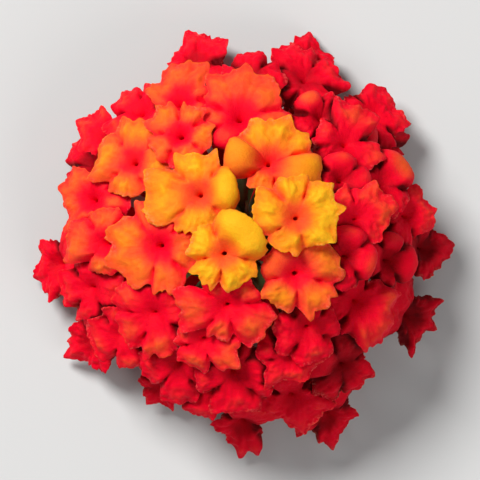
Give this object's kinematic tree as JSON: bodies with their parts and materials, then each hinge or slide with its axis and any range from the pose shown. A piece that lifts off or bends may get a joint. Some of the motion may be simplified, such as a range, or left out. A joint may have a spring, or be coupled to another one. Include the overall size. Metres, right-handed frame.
{
  "type": "lantana flower head",
  "caption": "Domed lantana flower head of small ruffled tubular florets, yellow in the middle through orange to red at the edge, nipped off below the head and resting face up.",
  "frame": {"origin": "middle of the bottom of the bounding box, on the surface that the head rests on", "axes": "+Z out of the middle of the head, which is up as it rests; +X to the right and +Y to the top of the head as it is seen from above"},
  "size_m": [0.0346, 0.0346, 0.0188],
  "materials": {
    "petal_yellow": "velvety petal, bright golden yellow, deeper orange at the throat",
    "petal_orange": "velvety petal, orange going to red-orange towards its folds",
    "petal_red": "velvety petal, scarlet with soft lighter crests",
    "stalk": "green, finely ribbed and hairy",
    "bract": "dull green, hairy, with a lighter midrib"
  },
  "bodies": {
    "root": {"flower_stalk": "stalk", "floret_01": "petal_yellow", "floret_02": "petal_yellow", "floret_03": "petal_yellow", "floret_04": "petal_orange", "floret_05": "petal_orange", "floret_06": "petal_orange", "floret_07": "petal_orange", "floret_08": "petal_orange", "floret_09": "petal_orange", "floret_10": "petal_orange", "floret_11": "petal_red", "floret_12": "petal_red", "floret_13": "petal_orange", "floret_14": "petal_red", "floret_15": "petal_red", "floret_16": "petal_red", "floret_17": "petal_red", "floret_18": "petal_red", "floret_19": "petal_red", "floret_20": "petal_orange", "floret_21": "petal_red", "floret_22": "petal_red", "floret_23": "petal_red", "floret_24": "petal_red", "floret_25": "petal_red", "floret_26": "petal_red", "floret_27": "petal_red", "floret_28": "petal_red", "floret_29": "petal_red", "floret_30": "petal_red", "floret_31": "petal_red", "floret_32": "petal_red", "floret_33": "petal_red", "floret_34": "petal_red", "floret_35": "petal_red", "floret_36": "petal_red", "floret_37": "petal_red", "floret_38": "petal_red", "floret_39": "petal_red", "floret_40": "petal_red", "floret_41": "petal_red", "floret_42": "petal_red", "floret_43": "petal_red", "floret_44": "petal_red", "floret_45": "petal_red", "floret_46": "petal_red", "floret_47": "petal_red", "floret_48": "petal_red", "floret_49": "petal_red", "bract_01": "bract", "bract_02": "bract", "bract_03": "bract", "bract_04": "bract", "bract_05": "bract", "bract_06": "bract", "bract_07": "bract", "bract_08": "bract", "bract_09": "bract", "bract_10": "bract"}
  },
  "joints": []
}
